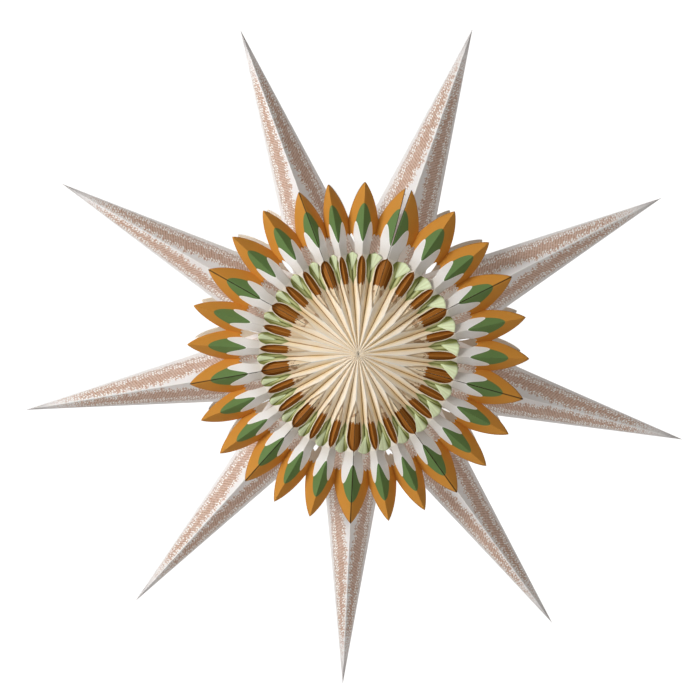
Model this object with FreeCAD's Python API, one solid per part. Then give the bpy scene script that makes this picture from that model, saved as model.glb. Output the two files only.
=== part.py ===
"""A folded paper star with nine long spikes and a pleated, cut-out rosette on each face.

The star stands as it hangs: X to the right, Z up, and its front looks along -Y. The origin is the
middle of the star, half way between the two points where the folds of the front and the back meet.
Azimuths are degrees clockwise from straight up, seen from the front.

Nine flat folded units are glued side to side into a ring. Each unit has a petal sheet and a liner
sheet on the front, the same two on the back, and a spike goes between each pair of units.
"""
import FreeCAD, Part
import math
import os

from FreeCAD import Vector

DRIVING_SIZES = [
    ("spike_reach", 350.0, "from the middle to a spike's tip"),
    ("half_depth", 92.0, "from the middle to where the front folds meet"),
    ("paper", 0.3, "thickness of the card"),
    ("glue_line", 0.3, "gap between two units at a glued seam"),
    ("layer_gap", 0.3, "gap between two sheets where they are glued together at the middle"),
    ("eye_radius", 2.0, "radius of the small eye where all the folds meet"),
    ("petal_fall", 16.0, "how far a petal's tip lies behind the middle of the front"),
    ("pleat_depth", 21.0, "depth from ridge to valley at the notch between two petals"),
    ("ridge_cut_start", 47.0, "radius of the inner end of the cut-out on a ridge"),
    ("ridge_cut_length", 52.0, "length of the cut-out on a ridge"),
    ("ridge_cut_share_seam", 0.7, "half width of a seam's ridge cut, as a share of its flank"),
    ("ridge_cut_share_mid", 0.48, "half width of any other ridge cut, as a share of its flank"),
    ("neck", 1.5, "radial width of card left between a ridge cut and a valley cut"),
    ("valley_cut_length", 20.5, "length of the cut-out in a valley"),
    ("valley_cut_share", 0.38, "half width of a valley cut, as a share of its flank"),
    ("valley_cut_lobe", 2.0, "how far the two lobes of a valley cut reach past its middle"),
    ("notch_margin", 15.0, "card left between a valley cut and the notch outside it"),
    ("petal_length", 37.0, "from the notch to a petal's tip"),
    ("lip_length", 16.5, "length of the sprung lip at the outer end of a valley strip"),
    ("lip_lift", 2.0, "height of the lip's tip above the flank behind it"),
    ("lip_reach", 0.62, "share of the next flank that a lip covers, on average"),
    ("lip_swing", 0.33, "how much more a lip covers on the right, and less on the left"),
    ("liner_rim", 4.0, "how far the liner reaches past the ridge cuts"),
    ("liner_notch", 5.0, "how far the liner's edge steps back from its ridges to its valleys"),
    ("liner_fall", 5.0, "how far the liner's rim lies behind the petal sheet"),
    ("tab_width", 6.0, "width of a glue tab"),
    ("seam_share", 0.185, "share of a unit's opening between its seam and the next valley"),
    ("side_share", 0.148, "share of a unit's opening between that valley and the next ridge"),
    ("first_seam_azimuth", 17.05, "azimuth of the seam where the ring of units is closed"),
    ("split_angle", 1.9, "degrees by which the petals of that seam stand apart at their tips"),
    ("split_start", 6.0, "how far outside the ridge cut that seam starts to stand apart"),
    ("unit_1_opening_angle", 46.45, "opening of unit 1 in degrees, clockwise from the first seam"),
    ("unit_2_opening_angle", 42.1, "opening of unit 2"),
    ("unit_3_opening_angle", 39.1, "opening of unit 3"),
    ("unit_4_opening_angle", 37.9, "opening of unit 4"),
    ("unit_5_opening_angle", 38.8, "opening of unit 5"),
    ("unit_6_opening_angle", 38.2, "opening of unit 6"),
    ("unit_7_opening_angle", 39.6, "opening of unit 7"),
    ("unit_8_opening_angle", 40.6, "opening of unit 8, and unit 9 closes the ring"),
    ("unit_1_lean_angle", 1.9, "degrees by which the middle of unit 1 leans clockwise"),
    ("unit_2_lean_angle", 0.4, "lean of unit 2"),
    ("unit_3_lean_angle", -0.3, "lean of unit 3"),
    ("unit_4_lean_angle", -0.3, "lean of unit 4"),
    ("unit_5_lean_angle", 1.1, "lean of unit 5"),
    ("unit_6_lean_angle", -0.1, "lean of unit 6"),
    ("unit_7_lean_angle", 0.1, "lean of unit 7"),
    ("unit_8_lean_angle", 0.1, "lean of unit 8"),
    ("unit_9_lean_angle", -2.6, "lean of unit 9"),
    ("spike_swing_angle", 2.6, "degrees by which spike 1 stands clockwise of the first seam"),
    ("spike_1_flare_ratio", 0.157, "half width of spike 1, for each mm from its tip"),
    ("spike_2_flare_ratio", 0.153, "the same of spike 2"),
    ("spike_3_flare_ratio", 0.144, "the same of spike 3"),
    ("spike_4_flare_ratio", 0.137, "the same of spike 4"),
    ("spike_5_flare_ratio", 0.135, "the same of spike 5"),
    ("spike_6_flare_ratio", 0.134, "the same of spike 6"),
    ("spike_7_flare_ratio", 0.139, "the same of spike 7"),
    ("spike_8_flare_ratio", 0.140, "the same of spike 8"),
    ("spike_9_flare_ratio", 0.141, "the same of spike 9"),
]
UNITS = 9
CURVE_STEPS = 4
RIDGE_CUT_WIDEST = 0.54

doc = FreeCAD.newDocument("folded_star")
sheet = doc.addObject("Spreadsheet::Sheet", "sizes")
for row, (alias, value, note) in enumerate(DRIVING_SIZES, start=1):
    sheet.set(f"A{row}", alias)
    sheet.set(f"B{row}", str(value))
    sheet.set(f"C{row}", note)
    sheet.setAlias(f"B{row}", alias)
doc.recompute()


def size(alias):
    """The value of a driving size, read from the sheet."""
    return float(sheet.get(alias))


# Radii along a flank, from the middle outwards
ridge_cut_end = size("ridge_cut_start") + size("ridge_cut_length")
valley_cut_start = ridge_cut_end + size("neck")
valley_cut_end = valley_cut_start + size("valley_cut_length")
notch_radius = valley_cut_end + size("notch_margin")
petal_radius = notch_radius + size("petal_length")
lip_root = valley_cut_start - size("lip_length")
liner_radius = ridge_cut_end + size("liner_rim")

# Slopes of the fold lines, which all run straight from the middle of the front
ridge_slope = size("petal_fall") / petal_radius
valley_slope = ridge_slope + size("pleat_depth") / notch_radius
liner_slope = size("liner_fall") / liner_radius


def upright(card_slope):
    """Thickness along Y of card that stands at card_slope, rise over run."""
    return size("paper") * math.hypot(1.0, card_slope)


class Panel:
    """One flat panel of a folded sheet: the plane through three corners."""

    def __init__(self, corner, second, third):
        self.corner = corner
        self.normal = (second - corner).cross(third - corner)

    def lift(self, place):
        """The point of the panel that shows at a place, X and Z, of the front view."""
        across = place[0] - self.corner.x
        up = place[1] - self.corner.z
        depth = self.corner.y - (self.normal.x * across + self.normal.z * up) / self.normal.y
        return Vector(place[0], depth, place[1])

    def steepness(self):
        """Rise over run of the panel, away from the front view's plane."""
        return math.hypot(self.normal.x, self.normal.z) / abs(self.normal.y)

    def card(self, places, thickness):
        """The panel's card: an outline seen from the front, with its thickness behind it."""
        points = [self.lift(place) for place in places]
        outline = Part.makePolygon(points + points[:1])
        return Part.Face(outline).extrude(Vector(0, thickness, 0))


def front_view(radius, azimuth):
    """X and Z of a point at a radius and an azimuth."""
    turn = math.radians(azimuth)
    return radius * math.sin(turn), radius * math.cos(turn)


def glue_turn(radius):
    """Degrees by which an edge beside a glued seam stands back from the seam, at a radius."""
    return math.degrees(math.asin(size("glue_line") / 2 / radius))


def fold_point(radius, azimuth, middle, slope):
    """A point on a fold line that falls back by slope from the middle of the front."""
    across, up = front_view(radius, azimuth)
    return Vector(across, -(middle - slope * radius), up)


class Flank:
    """A flat flank between a ridge and a valley. Its places are given as a share of the way from the
    ridge, 0, to the valley, 1, and a radius."""

    def __init__(self, ridge, valley, at_seam, split, middle, ridge_fall, valley_fall):
        self.ridge = ridge
        self.valley = valley
        self.at_seam = at_seam
        self.split = split
        self.side = math.copysign(1.0, valley - ridge)
        self.panel = Panel(
            Vector(0, -middle, 0),
            fold_point(petal_radius, ridge, middle, ridge_fall),
            fold_point(petal_radius, valley, middle, valley_fall),
        )

    def place(self, share, radius):
        """The front view of a share and a radius, clear of the glue line at a seam."""
        start = self.ridge
        if self.at_seam:
            start += self.side * glue_turn(radius)
        if self.split and radius > ridge_cut_end:
            split_radius = ridge_cut_end + size("split_start")
            swing = max(0.0, (radius - split_radius) / (petal_radius - split_radius))
            start += self.side * swing * size("split_angle") / 2
        return front_view(radius, start + share * (self.valley - start))

    def point(self, share, radius):
        return self.panel.lift(self.place(share, radius))


def steps(count):
    """Shares from just after 0 to just before 1."""
    return [number / count for number in range(1, count)]


def ridge_cut(flank):
    """Half of the leaf-shaped cut-out on a ridge, from its pointed inner end outwards."""
    if flank.at_seam:
        widest = size("ridge_cut_share_seam")
    else:
        widest = size("ridge_cut_share_mid")
    places = [flank.place(0, size("ridge_cut_start"))]
    for along in steps(CURVE_STEPS + 1):
        if along < RIDGE_CUT_WIDEST:
            share = widest * math.sin(math.pi / 2 * along / RIDGE_CUT_WIDEST)
        else:
            past = (along - RIDGE_CUT_WIDEST) / (1 - RIDGE_CUT_WIDEST)
            share = widest * math.sqrt(1 - past ** 2)
        places.append(flank.place(share, size("ridge_cut_start") + along * size("ridge_cut_length")))
    places.append(flank.place(0, ridge_cut_end))
    return places


def petal_edge(flank):
    """The bowed edge of a petal, from its tip on the ridge to the notch in the valley."""
    places = []
    if flank.split:
        places.append(flank.place(0, ridge_cut_end + size("split_start")))
    places.append(flank.place(0, petal_radius))
    for along in steps(CURVE_STEPS):
        places.append(flank.place(along ** 0.8, petal_radius - along * size("petal_length")))
    places.append(flank.place(1, notch_radius))
    return places


def valley_cut(flank):
    """Half of the cut-out in a valley, from its outer end, which has a lobe on each flank, inwards."""
    widest = size("valley_cut_share")
    length = size("valley_cut_length")
    return [
        flank.place(1, valley_cut_end - size("valley_cut_lobe")),
        flank.place(1 - 0.5 * widest, valley_cut_end),
        flank.place(1 - widest, valley_cut_end - 0.5 * length),
        flank.place(1 - widest, valley_cut_start),
    ]


LIP_EDGE_SHARE = 0.85


def petal_flank(flank, has_lip):
    """The card of one flank of a petal sheet."""
    places = [flank.place(0, size("eye_radius"))]
    places += ridge_cut(flank)
    places += petal_edge(flank)
    places += valley_cut(flank)
    if has_lip:
        places.append(flank.place(LIP_EDGE_SHARE, lip_root))
        places.append(flank.place(1, lip_root))
    else:
        places.append(flank.place(1, valley_cut_start - size("neck") / 2))
    places.append(flank.place(1, size("eye_radius")))
    return flank.panel.card(places, upright(flank.panel.steepness()))


def lip(near, far):
    """The sprung lip at the outer end of a valley strip: it leaves the near flank and stands over the
    valley, in front of the far flank, most on the right of the star and least on the left."""
    sideways = math.sin(math.radians(near.valley))
    covered = size("lip_reach") + size("lip_swing") * sideways
    corner_place = near.place(1 - size("valley_cut_share"), valley_cut_start)
    root_place = near.place(LIP_EDGE_SHARE, lip_root)
    tip_place = far.place(1 - covered, ridge_cut_end)
    tip = far.panel.lift(tip_place) - Vector(0, size("lip_lift"), 0)
    panel = Panel(near.panel.lift(root_place), near.panel.lift(corner_place), tip)
    bulge_azimuth = near.valley + near.side * 0.35 * covered * abs(far.ridge - far.valley)
    bulge_place = front_view(valley_cut_start + size("neck"), bulge_azimuth)
    return panel.card([root_place, corner_place, bulge_place, tip_place], upright(near.panel.steepness()))


def seam_tab(flank, inner_radius, outer_radius):
    """A glue tab that turns inwards from a flank's ridge at a seam, against the next unit's tab."""
    along = Vector(math.sin(math.radians(flank.ridge)), 0, math.cos(math.radians(flank.ridge)))
    inwards = Vector(0, 1, 0)
    away = Vector(along.z, 0, -along.x) * flank.side
    card = upright(flank.panel.steepness())
    inner_top = flank.point(0, inner_radius) + inwards * card * 0.9
    outer_top = flank.point(0, outer_radius) + inwards * card * 0.9
    taper = (outer_radius - inner_radius) * 0.1
    width = size("tab_width")
    corners = [
        inner_top,
        outer_top,
        outer_top + inwards * width - along * taper,
        inner_top + inwards * width + along * taper,
    ]
    return Part.Face(Part.makePolygon(corners + corners[:1])).extrude(away * size("paper"))


def unit_azimuths(number):
    """The azimuths of a unit's two seams."""
    openings = [size(f"unit_{unit}_opening_angle") for unit in range(1, UNITS)]
    openings.append(360.0 - sum(openings))
    start = size("first_seam_azimuth") + sum(openings[:number - 1])
    return start, start + openings[number - 1]


def unit_folds(number):
    """The azimuths of a unit's folds, ridge and valley in turn, from seam to seam."""
    start, end = unit_azimuths(number)
    opening = end - start
    seam_share = size("seam_share")
    side_share = size("side_share")
    shares = [0, seam_share, seam_share + side_share, 0.5]
    shares += [1 - share for share in reversed(shares[:3])]
    lean = size(f"unit_{number}_lean_angle")
    return [start + share * opening + 4 * share * (1 - share) * lean for share in shares]


def unit_flanks(number, middle, ridge_fall, valley_fall):
    """The six flanks of a unit, three pairs that each meet in a valley."""
    folds = unit_folds(number)
    flanks = []
    for place in (1, 3, 5):
        first_seam = place == 1
        last_seam = place == 5
        flanks.append(Flank(folds[place - 1], folds[place], first_seam, first_seam and number == 1,
                            middle, ridge_fall, valley_fall))
        flanks.append(Flank(folds[place + 1], folds[place], last_seam, last_seam and number == UNITS,
                            middle, ridge_fall, valley_fall))
    return flanks


petal_card = upright(size("pleat_depth") / (notch_radius * math.radians(360 / UNITS / 6)))
liner_middle = size("half_depth") - petal_card - size("layer_gap")
spike_middle = liner_middle - petal_card - size("layer_gap")


def petal_sheet(number):
    """The front petal sheet of a unit: six flanks, cut out on their ridges and valleys."""
    flanks = unit_flanks(number, size("half_depth"), ridge_slope, valley_slope)
    cards = []
    for near, far in zip(flanks[0::2], flanks[1::2]):
        cards += [petal_flank(near, True), petal_flank(far, False), lip(near, far)]
    for flank in (flanks[0], flanks[-1]):
        if not flank.split:
            cards.append(seam_tab(flank, liner_radius + size("layer_gap"), notch_radius))
    return cards[0].multiFuse(cards[1:]).removeSplitter()


def liner_sheet(number):
    """The plain pleated liner of a unit, folded like the petal sheet and seen through its ridge cuts."""
    flanks = unit_flanks(number, liner_middle, ridge_slope + liner_slope, valley_slope + liner_slope)
    cards = []
    for flank in flanks:
        places = [
            flank.place(0, size("eye_radius")),
            flank.place(0, liner_radius),
            flank.place(1, liner_radius - size("liner_notch")),
            flank.place(1, size("eye_radius")),
        ]
        cards.append(flank.panel.card(places, upright(flank.panel.steepness())))
    for flank in (flanks[0], flanks[-1]):
        cards.append(seam_tab(flank, size("ridge_cut_start"), ridge_cut_end))
    return cards[0].multiFuse(cards[1:]).removeSplitter()


def spike_azimuth(number):
    """The azimuth of a spike, which stands over the first seam of its unit."""
    azimuth = unit_azimuths(number)[0]
    return azimuth + size("spike_swing_angle") if number == 1 else azimuth


def spike_side(number, side):
    """The side edge of a spike in the front view: its tip and its direction towards the middle. The
    side is 1 clockwise of the spike and -1 before it."""
    axis = math.radians(spike_azimuth(number))
    outwards = Vector(math.sin(axis), 0, math.cos(axis))
    clockwise = Vector(math.cos(axis), 0, -math.sin(axis))
    return outwards * size("spike_reach"), clockwise * side * size(f"spike_{number}_flare_ratio") - outwards


def gap_corner(number):
    """The inner corner of the gap between a unit's two spikes, where their side edges meet."""
    following = 1 if number == UNITS else number + 1
    tip, inwards = spike_side(number, 1.0)
    other_tip, other_inwards = spike_side(following, -1.0)
    between = other_tip - tip
    run = between.cross(other_inwards).y / inwards.cross(other_inwards).y
    return tip + inwards * run


def spike(number):
    """A four-sided hollow spike of folded card, with its tip at the first seam of its unit. Its sides
    run from the ridge to the corners of the gaps beside it, where it is glued to the next spikes."""
    before = UNITS if number == 1 else number - 1
    tip = spike_side(number, 1.0)[0]
    middle = Vector(0, -spike_middle, 0)
    axis = spike_azimuth(number)
    reach = size("spike_reach")
    front_half = Part.makeBox(2 * reach, reach, 2 * reach, Vector(-reach, -reach, -reach))
    cards = []
    for neighbour, side in ((before, -1.0), (number, 1.0)):
        corner = gap_corner(neighbour)
        gap_radius = corner.Length
        gap_azimuth = math.degrees(math.atan2(corner.x, corner.z))

        def clear(radius):
            return gap_azimuth - side * glue_turn(radius)

        gap = front_view(gap_radius, clear(gap_radius))
        panel = Panel(middle, tip, Vector(gap[0], 0, gap[1]))
        inner = size("eye_radius")
        card = upright(panel.steepness())
        places = [front_view(inner, axis), (tip.x, tip.z), gap, front_view(inner, clear(inner))]
        cards.append(panel.card(places, card).common(front_half))
        cards.append(spike_tab(panel, gap_radius, clear, side, card))
    cards += [card.mirror(Vector(0, 0, 0), Vector(0, 1, 0)) for card in cards]
    return cards[0].multiFuse(cards[1:])


def spike_tab(panel, gap_radius, clear, side, card):
    """A glue tab that turns inwards from a spike's panel, against the tab of the next spike."""
    inwards = Vector(0, 1, 0)
    inner = panel.lift(front_view(gap_radius * 0.25, clear(gap_radius * 0.25))) + inwards * card * 0.5
    outer = panel.lift(front_view(gap_radius * 0.8, clear(gap_radius * 0.8))) + inwards * card * 0.5
    width = inwards * size("tab_width")
    azimuth = math.radians(clear(gap_radius))
    away = Vector(math.cos(azimuth), 0, -math.sin(azimuth)) * -side
    corners = [inner, outer, outer + width, inner + width]
    return Part.Face(Part.makePolygon(corners + corners[:1])).extrude(away * size("paper"))


def add_piece(label, shape):
    """One piece of the star as an object of the document."""
    piece = doc.addObject("Part::Feature", label)
    piece.Label = label
    piece.Shape = shape
    piece.Placement = FreeCAD.Placement()
    return piece


pieces = []
for number in range(1, UNITS + 1):
    petals = petal_sheet(number)
    liner = liner_sheet(number)
    pieces.append(add_piece(f"petal_sheet_front_{number}", petals))
    pieces.append(add_piece(f"liner_sheet_front_{number}", liner))
    pieces.append(add_piece(f"petal_sheet_back_{number}", petals.mirror(Vector(0, 0, 0), Vector(0, 1, 0))))
    pieces.append(add_piece(f"liner_sheet_back_{number}", liner.mirror(Vector(0, 0, 0), Vector(0, 1, 0))))
    pieces.append(add_piece(f"spike_{number}", spike(number)))

doc.recompute()
for item in doc.Objects:
    if "Invalid" in item.State or "Error" in item.State:
        raise RuntimeError(f"{item.Label} failed to build")
for piece in pieces:
    if piece.Shape.isNull() or not piece.Shape.isValid():
        raise RuntimeError(f"{piece.Label} has no valid shape")
    if len(piece.Shape.Solids) != 1:
        raise RuntimeError(f"{piece.Label} is {len(piece.Shape.Solids)} solids")

os.makedirs("parts", exist_ok=True)
for piece in pieces:
    piece.Shape.exportStep(f"parts/{piece.Label}.step")
print(len(pieces), "pieces,", round(sum(piece.Shape.Volume for piece in pieces)), "mm3")
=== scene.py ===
import math

import bmesh
import bpy
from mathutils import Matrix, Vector, noise


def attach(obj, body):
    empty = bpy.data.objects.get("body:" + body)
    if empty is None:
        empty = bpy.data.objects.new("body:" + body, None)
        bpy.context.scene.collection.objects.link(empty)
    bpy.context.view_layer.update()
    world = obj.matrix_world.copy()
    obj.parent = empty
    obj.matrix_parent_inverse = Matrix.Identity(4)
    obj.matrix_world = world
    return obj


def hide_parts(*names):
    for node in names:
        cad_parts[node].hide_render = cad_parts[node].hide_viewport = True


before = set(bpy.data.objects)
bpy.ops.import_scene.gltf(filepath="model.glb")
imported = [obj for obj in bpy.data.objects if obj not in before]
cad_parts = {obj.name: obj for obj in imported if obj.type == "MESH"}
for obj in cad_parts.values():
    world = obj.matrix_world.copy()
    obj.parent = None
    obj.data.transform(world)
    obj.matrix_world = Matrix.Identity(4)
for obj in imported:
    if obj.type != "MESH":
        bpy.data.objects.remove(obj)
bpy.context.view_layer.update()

# Petal sheets. Each unit of the ring has a sheet of printed card on its front and one on its back,
# folded into three ridges and three valleys. The ridges and valleys are cut out before folding, and
# the outer edge is cut into bowed petals. The sheets are glued to each other along their seams.
# Lengths are in mm until a sheet is brought to metres. Azimuths are degrees clockwise from straight
# up, seen from the front. A share of a flank is 0 at its ridge and 1 at its valley.
UNITS = 9
FIRST_SEAM = 17.05
OPENINGS = (46.45, 42.1, 39.1, 37.9, 38.8, 38.2, 39.6, 40.6, 37.25)
LEANS = (1.9, 0.4, -0.3, -0.3, 1.1, -0.1, 0.1, 0.1, -2.6)
FOLD_SHARES = (0.0, 0.185, 0.333, 0.5, 0.667, 0.815, 1.0)
PAPER = 0.3
GLUE_LINE = 0.3
EYE_RADIUS = 0.8
HALF_DEPTH = 92.0
RIDGE_CUT_START = 47.0
RIDGE_CUT_END = 99.0
RIDGE_CUT_WIDEST = 0.54
RIDGE_CUT_SHARE_SEAM = 0.70
RIDGE_CUT_SHARE_MID = 0.48
VALLEY_CUT_START = 100.5
VALLEY_CUT_END = 121.0
VALLEY_CUT_LOBE = 2.0
VALLEY_CUT_SHARE = 0.38
NOTCH_RADIUS = 136.0
PETAL_RADIUS = 173.0
LIP_ROOT = 84.0
LIP_START = 84.5
LIP_EDGE_SHARE = 0.85
LIP_LIFT = 3.0
LIP_REACH = 0.62
LIP_SWING = 0.33
LIP_SWELL = 2.6
LIP_RIPPLE = 0.25
SPLIT_START = 105.0
SPLIT_GAP = 1.9
TAB_WIDTH = 6.0
PETAL_TAB_START = 103.3
RIDGE_SLOPE = 16.0 / PETAL_RADIUS
VALLEY_SLOPE = RIDGE_SLOPE + 21.0 / NOTCH_RADIUS
NECK_END = 110.5
INNER_ROWS = 36
PETAL_ROUND = 0.85
BOW_HEIGHT = 0.9
SHARP_FOLD = math.radians(14)
UV_SPAN = 200.0


class Term:
    """A socket of a material's node tree that takes part in arithmetic."""

    def __init__(self, shader, socket):
        self.shader = shader
        self.socket = socket

    def maths(self, operation, *values):
        inputs = dict(enumerate(values))
        return self.shader.node("Math", 0, inputs, operation=operation)

    def __add__(self, other):
        return self.maths("ADD", self, other)

    def __radd__(self, other):
        return self.maths("ADD", other, self)

    def __sub__(self, other):
        return self.maths("SUBTRACT", self, other)

    def __rsub__(self, other):
        return self.maths("SUBTRACT", other, self)

    def __mul__(self, other):
        return self.maths("MULTIPLY", self, other)

    def __rmul__(self, other):
        return self.maths("MULTIPLY", other, self)

    def __truediv__(self, other):
        return self.maths("DIVIDE", self, other)

    def __rtruediv__(self, other):
        return self.maths("DIVIDE", other, self)

    def __pow__(self, other):
        return self.maths("POWER", self, other)

    def sine(self):
        return self.maths("SINE", self)

    def fraction(self):
        return self.maths("FRACT", self)

    def size(self):
        return self.maths("ABSOLUTE", self)

    def lowest(self, other):
        return self.maths("MINIMUM", self, other)

    def highest(self, other):
        return self.maths("MAXIMUM", self, other)

    def ramp(self, low, high):
        """0 at low and 1 at high, with a smooth step between."""
        return self.shader.node("MapRange", 0, {"Value": self, "From Min": low, "From Max": high},
                                interpolation_type="SMOOTHSTEP")


class Shader:
    """A material, with its nodes made by short calls."""

    def __init__(self, name):
        self.material = bpy.data.materials.new(name)
        self.material.use_nodes = True
        self.tree = self.material.node_tree
        self.surface = self.tree.nodes["Principled BSDF"]

    def put(self, socket, value):
        if isinstance(value, Term):
            self.tree.links.new(value.socket, socket)
        else:
            socket.default_value = value

    def node(self, kind, output, inputs, **settings):
        node = self.tree.nodes.new("ShaderNode" + kind)
        for setting, value in settings.items():
            setattr(node, setting, value)
        for name, value in inputs.items():
            self.put(node.inputs[name], value)
        return Term(self, node.outputs[output])

    def blend(self, share, start, end):
        """A colour between two others."""
        return self.node("Mix", 2, {0: share, 6: start, 7: end}, data_type="RGBA")

    def mottle(self, scale, detail):
        """Soft noise over the object, 0 to 1, with its scale in blots a metre."""
        place = self.node("TexCoord", "Object", {})
        return self.node("TexNoise", 0, {"Vector": place, "Scale": scale, "Detail": detail})

    def seam(self):
        """1 on the flanks that end in a glued seam."""
        return self.node("Attribute", "Fac", {}, attribute_name="seam")

    def flank_place(self):
        """The share across a flank, from ridge to valley, and the radius in mm."""
        uv = self.node("UVMap", 0, {}, uv_map="flank")
        share = self.node("SeparateXYZ", 0, {0: uv})
        radius = self.node("SeparateXYZ", 1, {0: uv}) * UV_SPAN
        return share, radius

    def glow(self, colour, strength):
        """A glow of the surface's own. On the card it is painted light, standing in for what comes
        through thin card from behind; on the stage it only makes the backdrop bright.
        """
        self.put(self.surface.inputs["Emission Color"], colour)
        self.surface.inputs["Emission Strength"].default_value = strength

    def card(self, colour):
        """Finish the surface as uncoated card, with its fibres and small waves."""
        pulp = self.mottle(900.0, 4.0)
        cloud = self.mottle(60.0, 3.0)
        tone = 1.0 + (pulp - 0.5) * 0.10 + (cloud - 0.5) * 0.10
        toned = self.node("VectorMath", 0, {0: colour, "Scale": tone}, operation="SCALE")
        relief = {"Height": pulp * 0.6 + cloud, "Distance": 0.0003, "Strength": 0.06}
        self.put(self.surface.inputs["Base Color"], toned)
        self.put(self.surface.inputs["Roughness"], 0.62 + (pulp - 0.5) * 0.15)
        self.put(self.surface.inputs["Normal"], self.node("Bump", 0, relief))
        self.surface.inputs["IOR"].default_value = 1.4
        self.surface.inputs["Specular IOR Level"].default_value = 0.3
        return self.material


def tint(red, green, blue):
    """A display colour, 0 to 255, as the linear colour that a shader takes."""
    linear = [(part / 255 / 12.92) if part < 11 else ((part / 255 + 0.055) / 1.055) ** 2.4
              for part in (red, green, blue)]
    return (*linear, 1.0)


def turn_for(gap, radius):
    """Degrees that a gap spans at a radius."""
    return math.degrees(math.asin(gap / radius))


def seam_azimuth(unit):
    """The azimuth of the seam where a unit starts."""
    return FIRST_SEAM + sum(OPENINGS[:unit])


def unit_folds(unit):
    """The azimuths of a unit's folds, ridge and valley in turn."""
    start = seam_azimuth(unit)
    return [start + share * OPENINGS[unit] + 4 * share * (1 - share) * LEANS[unit]
            for share in FOLD_SHARES]


def polar(radius, azimuth, depth):
    """The place at a radius and an azimuth, a depth in front of the star's middle."""
    turn = math.radians(azimuth)
    return Vector((radius * math.sin(turn), -depth, radius * math.cos(turn)))


class Flank:
    """A flat flank between a ridge and a valley, placed by a share across it and a radius."""

    def __init__(self, unit, number, middle, extra_slope=0.0):
        folds = unit_folds(unit)
        even = number % 2 == 0
        self.ridge = folds[number] if even else folds[number + 1]
        self.valley = folds[number + 1] if even else folds[number]
        self.side = 1.0 if even else -1.0
        self.at_seam = number in (0, 5)
        self.split = (unit == 0 and number == 0) or (unit == UNITS - 1 and number == 5)
        self.middle = middle
        apex = Vector((0, -middle, 0))
        ridge = polar(100, self.ridge, middle - (RIDGE_SLOPE + extra_slope) * 100)
        valley = polar(100, self.valley, middle - (VALLEY_SLOPE + extra_slope) * 100)
        self.normal = (ridge - apex).cross(valley - apex).normalized()
        if self.normal.y > 0:
            self.normal.negate()

    def point(self, share, radius, lift=0.0):
        """The place at a share and a radius, lifted off the flank towards the front."""
        start = self.ridge
        if self.at_seam:
            start += self.side * turn_for(GLUE_LINE / 2, radius)
        if self.split and radius > SPLIT_START:
            start += self.side * SPLIT_GAP / 2 * (radius - SPLIT_START) / (PETAL_RADIUS - SPLIT_START)
        place = polar(radius, start + share * (self.valley - start), 0)
        place.y = -self.middle - (self.normal.x * place.x + self.normal.z * place.z) / self.normal.y
        return place + self.normal * lift


def settle(place):
    """The small waves that folded card keeps, the same for every sheet at one place."""
    wave = noise.noise(place * 0.022) * 0.9 + noise.noise(place * 0.07) * 0.25
    reach = min(1.0, math.hypot(place.x, place.z) / 120)
    return place + Vector((0, wave * reach, 0))


def patch(mesh, uv, across, along, place, at_seam=False):
    """A strip of card: place gives the point, and what the print reads, for two shares 0 to 1."""
    seam = mesh.faces.layers.float["seam"]
    grid = bmesh.ops.create_grid(mesh, x_segments=across, y_segments=along, size=0.5)
    reading = {}
    for vert in grid["verts"]:
        point, mark = place(vert.co.x + 0.5, vert.co.y + 0.5)
        reading[vert] = mark
        vert.co = point
    for face in {face for vert in grid["verts"] for face in vert.link_faces}:
        face[seam] = float(at_seam)
        for loop in face.loops:
            loop[uv].uv = reading[loop.vert]


def steps_to(share, knots):
    """The value at a share, on straight steps through knots that are each a share and a value."""
    for (start, low), (end, high) in zip(knots, knots[1:]):
        if share <= end:
            return low + (high - low) * (share - start) / (end - start)
    return knots[-1][1]


def ridge_cut(flank, radius):
    """Half width of a ridge's cut-out at a radius, as a share of the flank."""
    along = (radius - RIDGE_CUT_START) / (RIDGE_CUT_END - RIDGE_CUT_START)
    if not 0 < along < 1:
        return 0.0
    widest = RIDGE_CUT_SHARE_SEAM if flank.at_seam else RIDGE_CUT_SHARE_MID
    if along < RIDGE_CUT_WIDEST:
        return widest * math.sin(math.pi / 2 * along / RIDGE_CUT_WIDEST)
    past = (along - RIDGE_CUT_WIDEST) / (1 - RIDGE_CUT_WIDEST)
    return widest * math.sqrt(1 - past ** 2)


def lip_edge(radius):
    """Share at which a lip leaves its own flank, at a radius."""
    rise = (radius - LIP_ROOT) / (VALLEY_CUT_START - LIP_ROOT)
    return LIP_EDGE_SHARE + (1 - VALLEY_CUT_SHARE - LIP_EDGE_SHARE) * rise


def bow(share, radius):
    """How far a petal's flank bows out between its folds."""
    reach = min(1.0, max(0.0, (radius - 60) / 60))
    return BOW_HEIGHT * reach * math.sin(math.pi * min(1.0, share))


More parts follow.
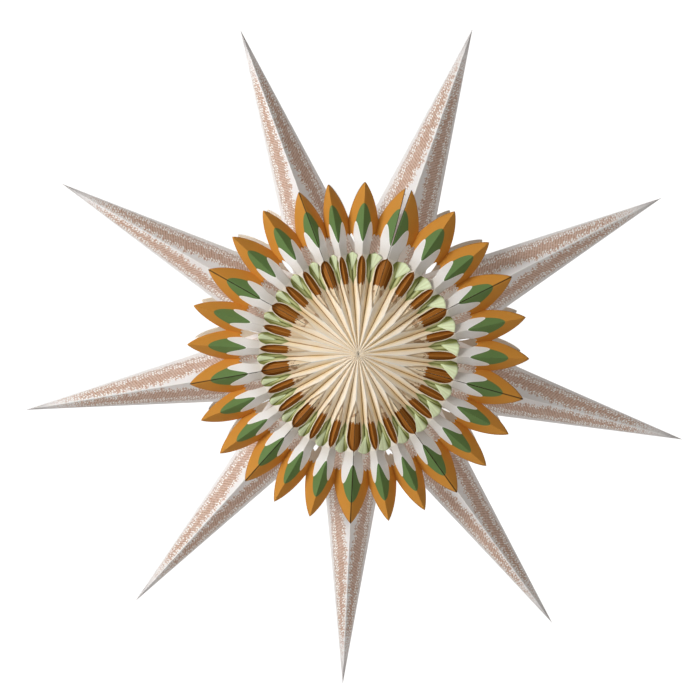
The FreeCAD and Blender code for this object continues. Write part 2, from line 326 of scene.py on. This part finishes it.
def flank_card(mesh, uv, flank, has_lip):
    """The card of one flank of a petal sheet, as three strips that join at their ends."""
    cut_edge = 1 - VALLEY_CUT_SHARE

    def at(share, radius):
        return settle(flank.point(share, radius, bow(share, radius))), (share, radius / UV_SPAN)

    def inner(across, along):
        """From the eye to the inner end of the valley cuts, around the ridge's cut-out."""
        radius = steps_to(along * INNER_ROWS, [
            (0, EYE_RADIUS), (9, RIDGE_CUT_START), (25, LIP_ROOT), (26, LIP_START),
            (INNER_ROWS, VALLEY_CUT_START)])
        near = ridge_cut(flank, radius)
        far = 1.0
        if has_lip and radius > LIP_ROOT + 0.1:
            far = lip_edge(radius)
        turn = min(cut_edge, far)
        if across <= 0.5:
            return at(near + (turn - near) * across * 2, radius)
        share = turn + (far - turn) * (across * 2 - 1)
        if not has_lip:
            past = max(0.0, (radius - 90) / (VALLEY_CUT_START - 90))
            radius += past * 2.4 * math.sin(math.pi * (share - turn) / (1.15 - turn))
        return at(share, radius)

    def neck(across, along):
        """The straight strip beside a valley's cut-out."""
        return at(cut_edge * across, VALLEY_CUT_START + (NECK_END - VALLEY_CUT_START) * along)

    def petal(across, along):
        """From the neck, and from the lobed end of the valley's cut-out, to the petal's edge."""
        if across <= 0.5:
            share = cut_edge * across * 2
            start = NECK_END
        else:
            inside = across * 2 - 1
            share = cut_edge + (1 - cut_edge) * inside
            if inside < 0.6:
                swell = math.sin(math.pi / 2 * inside / 0.6) ** 0.7
                start = NECK_END + (VALLEY_CUT_END - NECK_END) * swell
            else:
                dip = math.sin(math.pi / 2 * (inside - 0.6) / 0.4) ** 2
                start = VALLEY_CUT_END - VALLEY_CUT_LOBE * dip
        drop = share ** (1 / PETAL_ROUND)
        end = PETAL_RADIUS - (PETAL_RADIUS - NOTCH_RADIUS) * drop
        return at(share, start + (end - start) * along)

    patch(mesh, uv, 16, INNER_ROWS, inner, flank.at_seam)
    patch(mesh, uv, 8, 4, neck, flank.at_seam)
    patch(mesh, uv, 16, 20, petal, flank.at_seam)


def lip_card(mesh, uv, near, far):
    """The sprung lip at the outer end of a valley strip, which stands in front of the far flank."""
    covered = LIP_REACH + LIP_SWING * math.sin(math.radians(near.valley))
    root = near.point(1.0, LIP_ROOT)
    tip = far.point(1 - covered, RIDGE_CUT_END) - Vector((0, LIP_LIFT, 0))

    def place(across, along):
        radius = LIP_START + (VALLEY_CUT_START - LIP_START) * along
        start = near.point(lip_edge(radius), radius, bow(lip_edge(radius), radius))
        point = start.lerp(root.lerp(tip, along), across)
        swell = math.sin(math.pi * across) * along ** 2
        outwards = Vector((point.x, 0, point.z)).normalized()
        ripple = math.sin(across * 9.0 + near.valley) * LIP_RIPPLE * along
        point += outwards * LIP_SWELL * swell - Vector((0, 1.6 * swell + ripple, 0))
        return settle(point), (1 + 0.8 * across, radius / UV_SPAN)

    patch(mesh, uv, 10, 10, place)


def tab_card(mesh, uv, flank, start, end):
    """A glue tab that turns inwards at a seam."""

    def place(across, along):
        radius = start + (end - start) * along
        point = flank.point(0, radius)
        return settle(point) + Vector((0, TAB_WIDTH * across, 0)), (0.0, radius / UV_SPAN)

    patch(mesh, uv, 2, 12, place, True)


def new_card():
    """An empty mesh, with the layers that the prints read."""
    mesh = bmesh.new()
    mesh.faces.layers.float.new("seam")
    return mesh, mesh.loops.layers.uv.new("flank")


def join_strips(mesh):
    """Bring a sheet to metres, and join its strips where they meet."""
    bmesh.ops.scale(mesh, vec=(0.001, 0.001, 0.001), verts=mesh.verts)
    bmesh.ops.remove_doubles(mesh, verts=mesh.verts, dist=0.00003)


def sheet_piece(name, node, fill, materials, front):
    """A folded sheet as a piece of its own. One for the back is the mirror image of the front's."""
    mesh, uv = new_card()
    fill(mesh, uv)
    if not front:
        bmesh.ops.scale(mesh, vec=(1, -1, 1), verts=mesh.verts)
    join_strips(mesh)
    bmesh.ops.dissolve_degenerate(mesh, edges=mesh.edges, dist=0.00002)
    mesh.normal_update()
    outward = -1 if front else 1
    backward = [face for face in mesh.faces if face.normal.y * outward < 0]
    bmesh.ops.reverse_faces(mesh, faces=backward)
    finish_piece(name, node, mesh, materials)


def finish_piece(name, node, mesh, materials):
    """Keep the folds sharp, and give the skin its thickness. The materials are the print's, the cut
    edge's and the back's."""
    for face in mesh.faces:
        face.smooth = True
    for edge in mesh.edges:
        if len(edge.link_faces) == 2 and edge.calc_face_angle(0) > SHARP_FOLD:
            edge.smooth = False
    data = bpy.data.meshes.new(name)
    mesh.to_mesh(data)
    mesh.free()
    piece = bpy.data.objects.new(name, data)
    bpy.context.collection.objects.link(piece)
    for material in materials:
        data.materials.append(material)
    card = piece.modifiers.new("card", "SOLIDIFY")
    card.thickness = PAPER / 1000
    card.offset = -1.0
    card.use_quality_normals = True
    card.material_offset_rim = 1
    card.material_offset = 2
    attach(piece, "root")
    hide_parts(node)


# The petal sheet's print, by radii and by shares of a flank.
FLANK_WIDTH = 0.125
GREEN_TIP = 151.5
GREEN_FALL = 18.0
WHITE_SHARE = 0.47
WHITE_ROOT = 113.0
WHITE_RISE = 20.0
WHITE_FALL = 13.0
MIDDLE_END = 100.0
FAN_START = 70.0
FAN_END = 103.5
PALE = tint(254, 251, 245)


def ridge_margin(shader, share, radius):
    """Distance in mm from the edge of a ridge's cut-out, as ridge_cut() draws it."""
    along = (radius - RIDGE_CUT_START) / (RIDGE_CUT_END - RIDGE_CUT_START)
    opening = (along.highest(0.0) / RIDGE_CUT_WIDEST).lowest(1.0)
    closing = ((along - RIDGE_CUT_WIDEST) / (1.0 - RIDGE_CUT_WIDEST)).highest(0.0).lowest(1.0)
    widest = RIDGE_CUT_SHARE_MID + (RIDGE_CUT_SHARE_SEAM - RIDGE_CUT_SHARE_MID) * shader.seam()
    cut = widest * (opening * (math.pi / 2)).sine() * (1.0 - closing * closing) ** 0.5
    return (share - cut) * radius * FLANK_WIDTH


def valley_fan(shader, share, radius, start):
    """The green fan of a valley strip: olive beside the valley and at its inner end, partly print and
    partly painted shade in the fold; on the lip a brighter mint that is painted light, streaked with
    painted shade.
    """
    mint = tint(200, 202, 146)
    lit_mint = tint(224, 236, 196)
    olive = tint(108, 112, 42)
    on_lip = (share - 1.03).ramp(0.0, 0.3)
    crease_shade_streaks = ((share * 30.0).sine() * 0.5 + 0.5) * 0.4
    # Olive towards the valley and towards the cut-out's edge: print, deepened at the valley by painted
    # shade in the crease.
    strip = shader.blend((share - 0.80).size().ramp(0.03, 0.22) * 0.9, mint, olive)
    # On the lip: a brighter mint that is painted light, crossed by streaks of painted shade from its
    # small creases.
    fan = shader.blend(on_lip, strip, shader.blend(crease_shade_streaks, lit_mint, mint))
    # Olive at the fan's inner end, deep in the fold: partly print, partly painted shade.
    return shader.blend((1.0 - (radius - start).ramp(0.0, 7.0)) * 0.5, fan, olive)


def rosette_middle(shader, share, radius):
    """The cream middle: straw tones towards its valleys, partly print and partly painted shade, a
    painted highlight on each ridge, painted shade along each valley, and the green fans.
    """
    tan = tint(232, 207, 160)
    patchy = shader.mottle(28.0, 2.0)
    drawn = shader.node("CombineXYZ", 0, {0: share * 7.0, 1: radius * 0.03, 2: patchy * 2.0})
    straw = shader.node("TexNoise", 0, {"Vector": drawn, "Scale": 1.0, "Detail": 2.0})
    middle = shader.blend(straw.ramp(0.42, 0.62) * 0.35, tint(248, 236, 217), tan)
    # Straw towards each valley, in patches: partly print, partly painted shade deep in the pleat.
    middle = shader.blend(share.ramp(0.45, 0.95) * patchy.ramp(0.3, 0.62), middle, tan)
    # A dark line along each valley: painted shade in the crease.
    middle = shader.blend(share.ramp(0.90, 0.98) * 0.9, middle, tint(150, 104, 54))
    # A pale line along each ridge: a painted highlight.
    middle = shader.blend((1.0 - share.ramp(0.04, 0.13)) * 0.9, middle, PALE)
    # Greyer towards the outer end, where the white petals begin: painted shade, as on the white
    # petals' base.
    middle = shader.blend((radius - LIP_ROOT).ramp(0.0, 12.0), middle, tint(232, 223, 212))
    margin = ridge_margin(shader, share, radius)
    fan_start = FAN_START + 18.0 * (1.0 - share).size()
    fan_end = FAN_END - 8.0 * ((0.82 - share).highest(0.0) / 0.4) ** 2.0
    leaf = (radius - fan_start).ramp(-1.0, 1.5) * (1.0 - (radius - fan_end).ramp(-0.8, 0.8))
    fan = valley_fan(shader, share, radius, fan_start)
    middle = shader.blend(leaf * (margin - 0.8).ramp(-0.3, 0.3), middle, fan)
    border = (1.0 - margin.ramp(0.3, 0.9)) * (radius - 52.0).ramp(0.0, 8.0)
    return shader.blend(border * 0.6, middle, tint(232, 216, 186))


def petal_print():
    """Printed card: an ochre petal with a green one inside it, a white petal on each flank, and a
    cream middle with a green fan at the outer end of each valley strip."""
    shader = Shader("petal_print")
    share, radius = shader.flank_place()
    green_top = GREEN_TIP - GREEN_FALL * (share / WHITE_SHARE) ** 1.8
    rise = (share / WHITE_SHARE).lowest(1.0)
    past = (share - WHITE_SHARE).highest(0.0) / 0.20
    white_top = WHITE_ROOT + WHITE_RISE * rise * rise * (3.0 - 2.0 * rise) - WHITE_FALL * past * past
    is_green = 1.0 - (radius - green_top).ramp(-0.25, 0.25)
    is_white = 1.0 - (radius - white_top).ramp(-0.25, 0.25)
    colour = shader.blend(is_green, tint(208, 143, 57), tint(102, 132, 76))
    # The white petals grey towards their base, low in the fold: painted shade.
    white = shader.blend((radius - MIDDLE_END).ramp(0.0, 18.0), tint(220, 213, 204),
                         tint(238, 235, 232))
    colour = shader.blend(is_white, colour, white)
    rim = 1.0 - (radius - white_top + 0.6).size().ramp(0.3, 1.1)
    colour = shader.blend(rim * 0.9, colour, PALE)
    middle_end = MIDDLE_END + 6.0 * (share - 0.62).ramp(-0.02, 0.02)
    in_middle = 1.0 - (radius - middle_end).ramp(-0.3, 0.3)
    colour = shader.blend(in_middle, colour, rosette_middle(shader, share, radius))
    # A dark line along each seam, fainter on the white: painted shade of the narrow gap between the
    # glued sheets.
    on_seam = shader.seam() * (1.0 - share.ramp(0.012, 0.03))
    seam_gap_shade = on_seam * (0.25 + 0.75 * (radius - WHITE_ROOT).ramp(-1.0, 1.0))
    colour = shader.blend(seam_gap_shade * 0.85, colour, tint(40, 34, 14))
    # Painted light: a faint glow in the print's own colour stands in for light through the thin card
    # and between the folds.
    shader.glow(colour, 0.045)
    return shader.card(colour)


def edge_print():
    """The cut edges of the card: pale, and dark along the seams of the petals with painted shade of
    the gap between the glued sheets.
    """
    shader = Shader("cut_edge_card")
    share, radius = shader.flank_place()
    # Dark rims on the seams: painted shade of the gap between the glued sheets.
    seam_edge_shade = shader.seam() * (1.0 - share.ramp(0.01, 0.02)) * (radius - 60.0).ramp(0.0, 1.0)
    return shader.card(shader.blend(seam_edge_shade, tint(236, 227, 210), tint(58, 44, 20)))


def plain_card(name, colour):
    """Unprinted card, with the grain of its pulp."""
    shader = Shader(name)
    speck = shader.mottle(300.0, 3.0).ramp(0.3, 0.8)
    return shader.card(shader.blend(speck * 0.3, colour, tint(232, 222, 206)))


petal_card = petal_print()
cut_edge_card = edge_print()
bare_card = plain_card("bare_card", tint(240, 230, 214))
sheet_cards = (petal_card, cut_edge_card, bare_card)


def petal_sheet(unit):
    """What fills a unit's petal sheet: three pairs of flanks, each pair with a lip at its valley."""
    def fill(mesh, uv):
        flanks = [Flank(unit, number, HALF_DEPTH) for number in range(6)]
        for near, far in zip(flanks[0::2], flanks[1::2]):
            flank_card(mesh, uv, near, True)
            flank_card(mesh, uv, far, False)
            lip_card(mesh, uv, near, far)
        for flank in (flanks[0], flanks[-1]):
            if not flank.split:
                tab_card(mesh, uv, flank, PETAL_TAB_START, NOTCH_RADIUS)
    return fill


for unit in range(UNITS):
    for face in ("front", "back"):
        sheet_piece(f"petals_{face}_{unit + 1}", f"petal_sheet_{face}_{unit + 1}", petal_sheet(unit),
                    sheet_cards, face == "front")

# Liner sheets. Behind each petal sheet lies a second sheet, folded on the same lines and glued at the
# middle. It is printed brown in its outer part, with a ragged inner border and fine lines along the
# pleats, and it shows through the petal sheet's ridge cut-outs.
LINER_RADIUS = 103.0
LINER_NOTCH = 5.0
LINER_SLOPE = 5.0 / LINER_RADIUS
LINER_DROP = 0.8
BROWN_START = 69.5
LINES_PER_FLANK = 3.0


def liner_print():
    """Card printed brown outside a ragged border, with thin light lines along the pleats."""
    shader = Shader("liner_print")
    share, radius = shader.flank_place()
    between_lines = ((share * LINES_PER_FLANK).fraction() - 0.5).size()
    border = BROWN_START + between_lines * 5.0 + (shader.mottle(260.0, 2.0) - 0.5) * 6.0
    # Lighter at the ridge and darker towards the valleys: painted shade.
    brown = shader.blend(share.ramp(0.0, 0.8), tint(160, 98, 32), tint(116, 70, 16))
    brown = shader.blend(between_lines.ramp(0.42, 0.47) * 0.7, brown, tint(212, 146, 74))
    bits = shader.mottle(120.0, 2.0).ramp(0.56, 0.60) * (radius - 44.0).ramp(0.0, 20.0)
    beige = shader.blend(bits * 0.7, tint(230, 210, 178), tint(160, 112, 66))
    colour = shader.blend((radius - border).ramp(-0.4, 0.4), beige, brown)
    # On each ridge a light line that is a painted highlight, and on the seams a dark line that is
    # painted shade of the gap between the sheets.
    crease = (1.0 - share.ramp(0.0, 0.05)) * (radius - border).ramp(-4.0, 0.0)
    crease_highlight_and_shade = shader.blend(shader.seam(), tint(206, 140, 68), tint(70, 40, 12))
    colour = shader.blend(crease * 0.55, colour, crease_highlight_and_shade)
    # Painted light: a glow stands in for light through the thin card, which lies in the petal sheet's
    # shade.
    shader.glow(colour, 0.10)
    return shader.card(colour)


liner_card = liner_print()


def liner_sheet(unit):
    """What fills a unit's liner sheet: six plain flanks, and a glue tab at each seam."""
    def fill(mesh, uv):
        for number in range(6):
            flank = Flank(unit, number, HALF_DEPTH - LINER_DROP, LINER_SLOPE)

            def place(across, along):
                edge = LINER_RADIUS - LINER_NOTCH * across
                radius = EYE_RADIUS + (edge - EYE_RADIUS) * along
                return flank.point(across, radius), (across, radius / UV_SPAN)

            patch(mesh, uv, 4, 20, place, flank.at_seam)
            if number in (0, 5):
                tab_card(mesh, uv, flank, RIDGE_CUT_START, RIDGE_CUT_END)
    return fill


for unit in range(UNITS):
    for face in ("front", "back"):
        sheet_piece(f"liner_{face}_{unit + 1}", f"liner_sheet_{face}_{unit + 1}", liner_sheet(unit),
                    (liner_card, cut_edge_card, bare_card), face == "front")

# Spikes. Each is one sheet of card folded into a hollow point with four sides, glued to the next
# spikes along its base. Its print is a band of fine slanting bars between rows of white dots, with
# bare margins along the ridge and the edges and a bare tip.
SPIKE_REACH = 350.0
SPIKE_SWING = 2.6
SPIKE_DROP = 1.6
SPIKE_BULGE = 0.8
TIP_ROUND = 0.5
FLARES = (0.157, 0.153, 0.144, 0.137, 0.135, 0.134, 0.139, 0.140, 0.141)
PRINT_FLARE = 0.142
BEAD_PITCH = 3.1
SHADE_START = 222.0
BLACK = (0.0, 0.0, 0.0, 1.0)


def bead_rows(across, turned, rows):
    """White dots along lines across the face. Each row has its line, and its shift along it."""
    beads = 0.0
    for line, shift in rows:
        sideways = across - line
        lengthways = ((turned / BEAD_PITCH + shift).fraction() - 0.5) * BEAD_PITCH
        bead = 1.0 - ((sideways * sideways + lengthways * lengthways) ** 0.5).ramp(0.65, 1.3)
        beads = bead.highest(beads)
    return beads


def spike_print():
    """Card printed with a band of bars and dots. Distances are mm from the tip and from the ridge."""
    shader = Shader("spike_print")
    uv = shader.node("UVMap", 0, {}, uv_map="flank")
    share = shader.node("SeparateXYZ", 0, {0: uv})
    run = shader.node("SeparateXYZ", 1, {0: uv}) * SPIKE_REACH
    width = run * PRINT_FLARE
    across = share * width
    wave = (run * 0.81).sine() * 0.8 + (run * 0.29).sine() * 0.6
    near_line = width * (0.10 + 0.24 * run.ramp(125.0, 200.0)) + wave
    far_line = width * (0.58 + 0.08 * run.ramp(80.0, 175.0)) + wave * 0.8
    turned = run + across * 0.8
    bars = (turned * (math.tau / BEAD_PITCH)).sine().ramp(-0.7, 0.7)
    outer = (across - far_line).ramp(0.0, 5.0)
    mottle = shader.mottle(360.0, 2.0)
    ink = shader.blend(bars * (1.0 - outer), tint(216, 184, 165), tint(190, 152, 130))
    ink = shader.blend(outer, ink, tint(200, 180, 169))
    ink = shader.blend(mottle.ramp(0.44, 0.60) * (0.3 + outer * 0.5), ink, tint(238, 226, 218))
    beads = bead_rows(across, turned, ((near_line - 0.4, 0.0), (near_line + 1.5, 0.5), (far_line, 0.0),
                                       (far_line + 1.9, 0.5), (far_line + 5.0, 0.0)))
    ink = shader.blend(beads * mottle.ramp(0.38, 0.48), ink, tint(255, 253, 250))
    band = (across - near_line).ramp(-1.6, 0.2) * (1.0 - (across - width * 0.88).ramp(-1.6, 0.8))
    off_tip = (run - 12.0 + (shader.mottle(160.0, 3.0) - 0.5) * 18.0).ramp(0.0, 54.0)
    colour = shader.blend(off_tip * band, tint(244, 241, 240), ink)
    # A pale line along the ridge: a painted highlight.
    colour = shader.blend((1.0 - across.ramp(0.3, 1.1)) * 0.7, colour, tint(254, 252, 250))
    # A grey tip: painted shade.
    colour = shader.blend((1.0 - run.ramp(3.0, 36.0)) * 0.85, colour, tint(190, 185, 184))
    # Painted light: a faint glow in the print's colour stands in for light through the card, and a
    # stronger grey glow lifts the faces in the shade under the petals.
    through_card = shader.blend(0.1, BLACK, colour)
    under_petals = (run - SHADE_START).ramp(0.0, 14.0)
    shader.glow(shader.blend(under_petals, through_card, tint(120, 112, 104)), 0.6)
    return shader.card(colour)


spike_card = spike_print()


def spike_axis(spike):
    """The azimuth of a spike, which stands over the first seam of its unit."""
    return seam_azimuth(spike) + (SPIKE_SWING if spike == 0 else 0.0)


def gap_corner(spike, side):
    """Distance from the tip, and half width, where a spike's side edge meets its neighbour's."""
    other = (spike + int(side)) % UNITS
    angle = math.radians((spike_axis(other) - spike_axis(spike)) * side % 360)
    inwards = Vector((FLARES[spike], -1.0))
    outwards = Vector((math.sin(angle), math.cos(angle)))
    aside = Vector((math.cos(angle), -math.sin(angle)))
    other_inwards = -outwards - aside * FLARES[other]
    between = (outwards - Vector((0.0, 1.0))) * SPIKE_REACH
    run = between.cross(other_inwards) / inwards.cross(other_inwards)
    return run, FLARES[spike] * run


def spike_sheet(spike):
    """What fills a spike: a panel on each side of its front ridge, and their mirror image behind."""
    turn = math.radians(spike_axis(spike))
    outwards = Vector((math.sin(turn), 0, math.cos(turn)))
    clockwise = Vector((math.cos(turn), 0, -math.sin(turn)))
    ridge_start = HALF_DEPTH - SPIKE_DROP

    def fill(mesh, uv):
        for side in (-1.0, 1.0):
            run_to_gap, half_width = gap_corner(spike, side)
            fall = ridge_start * run_to_gap / SPIKE_REACH / half_width

            def place(across, along):
                run = TIP_ROUND + (SPIKE_REACH - EYE_RADIUS - TIP_ROUND) * along ** 0.9
                reach = SPIKE_REACH - run
                width = FLARES[spike] * run
                if run >= run_to_gap:
                    width = half_width * reach / (SPIKE_REACH - run_to_gap)
                bulge = SPIKE_BULGE * math.sin(math.pi * across) * min(1.0, run / 60)
                point = outwards * reach + clockwise * side * (across * width + bulge)
                point.y = -max(0.0, ridge_start * run / SPIKE_REACH - fall * across * width)
                return point, (across * width / (FLARES[spike] * run), run / SPIKE_REACH)

            patch(mesh, uv, 8, 60, place)
        front = bmesh.ops.duplicate(mesh, geom=mesh.verts[:] + mesh.edges[:] + mesh.faces[:])["geom"]
        copies = [item for item in front if isinstance(item, bmesh.types.BMVert)]
        bmesh.ops.scale(mesh, vec=(1, -1, 1), verts=copies)
    return fill


for spike in range(UNITS):
    mesh, uv = new_card()
    spike_sheet(spike)(mesh, uv)
    join_strips(mesh)
    mesh.normal_update()
    backward = [face for face in mesh.faces if face.normal.y * face.calc_center_median().y < 0]
    bmesh.ops.reverse_faces(mesh, faces=backward)
    finish_piece(f"ray_{spike + 1}", f"spike_{spike + 1}", mesh,
                 (spike_card, cut_edge_card, bare_card))

# Stage: one white paper sheet that runs from the floor up into the backdrop and glows a little, and
# soft light from the left. Lengths are in metres.
FLOOR_LEVEL = -2.0
WALL_PLACE = 6.0
FLOOR_START = -4.0
SHEET_SIZE = 16.0
SWEEP = 1.2
FLOOR_LENGTH = WALL_PLACE - SWEEP - FLOOR_START
stage_mesh = bmesh.new()
bmesh.ops.create_grid(stage_mesh, x_segments=1, y_segments=60, size=0.5)
for vert in stage_mesh.verts:
    run = (vert.co.y + 0.5) * SHEET_SIZE
    past = max(0.0, run - FLOOR_LENGTH)
    turn = min(past / SWEEP, math.pi / 2)
    rise = max(0.0, past - SWEEP * math.pi / 2)
    vert.co = Vector((vert.co.x * SHEET_SIZE, FLOOR_START + run - past + SWEEP * math.sin(turn),
                      FLOOR_LEVEL + SWEEP * (1 - math.cos(turn)) + rise))
stage_data = bpy.data.meshes.new("backdrop")
stage_mesh.to_mesh(stage_data)
stage_mesh.free()
stage = bpy.data.objects.new("backdrop", stage_data)
bpy.context.collection.objects.link(stage)
stage_shader = Shader("stage_white")
height = stage_shader.node("SeparateXYZ", 2, {0: stage_shader.node("TexCoord", "Object", {})})
above_floor = height.ramp(FLOOR_LEVEL, FLOOR_LEVEL + 0.25)
stage_shader.glow(stage_shader.blend(above_floor, (0.1, 0.1, 0.1, 1.0), (1.0, 1.0, 1.0, 1.0)), 0.75)
stage_shader.surface.inputs["Base Color"].default_value = (0.9, 0.9, 0.9, 1.0)
stage_shader.surface.inputs["Roughness"].default_value = 0.9
stage_data.materials.append(stage_shader.material)

world = bpy.data.worlds.new("studio")
world.use_nodes = True
background = world.node_tree.nodes["Background"]
background.inputs["Color"].default_value = (1.0, 0.965, 0.92, 1.0)
background.inputs["Strength"].default_value = 0.265
bpy.context.scene.world = world


def area_light(name, place, size, power):
    """A square soft light that shines on the star's middle."""
    data = bpy.data.lights.new(name, "AREA")
    data.shape = "SQUARE"
    data.size = size
    data.energy = power
    light = bpy.data.objects.new(name, data)
    light.location = place
    light.rotation_euler = (-Vector(place)).to_track_quat("-Z", "Y").to_euler()
    bpy.context.collection.objects.link(light)


area_light("key", (-1.12, -1.12, 0.42), 0.5, 16.5)
area_light("fill", (0.2, -3.2, 0.8), 2.0, 4)

# Camera: a long lens, a little above the star, as in the photograph.
DISTANCE = 3.0
ELEVATION = math.radians(3.2)
PICTURE_SIZE = 700
PIXELS_PER_METRE = 338.0 / 0.350
AIM_PIXELS = (-8.0, -1.0)
camera_data = bpy.data.cameras.new("camera")
camera_data.sensor_width = 36.0
camera_data.lens = camera_data.sensor_width * PIXELS_PER_METRE * DISTANCE / PICTURE_SIZE
camera = bpy.data.objects.new("camera", camera_data)
aim = Vector((AIM_PIXELS[0], 0, AIM_PIXELS[1])) / PIXELS_PER_METRE
camera.location = aim + Vector((0, -math.cos(ELEVATION), math.sin(ELEVATION))) * DISTANCE
camera.rotation_euler = (aim - camera.location).to_track_quat("-Z", "Y").to_euler()
bpy.context.collection.objects.link(camera)
bpy.context.scene.camera = camera
bpy.context.scene.view_settings.view_transform = "Standard"
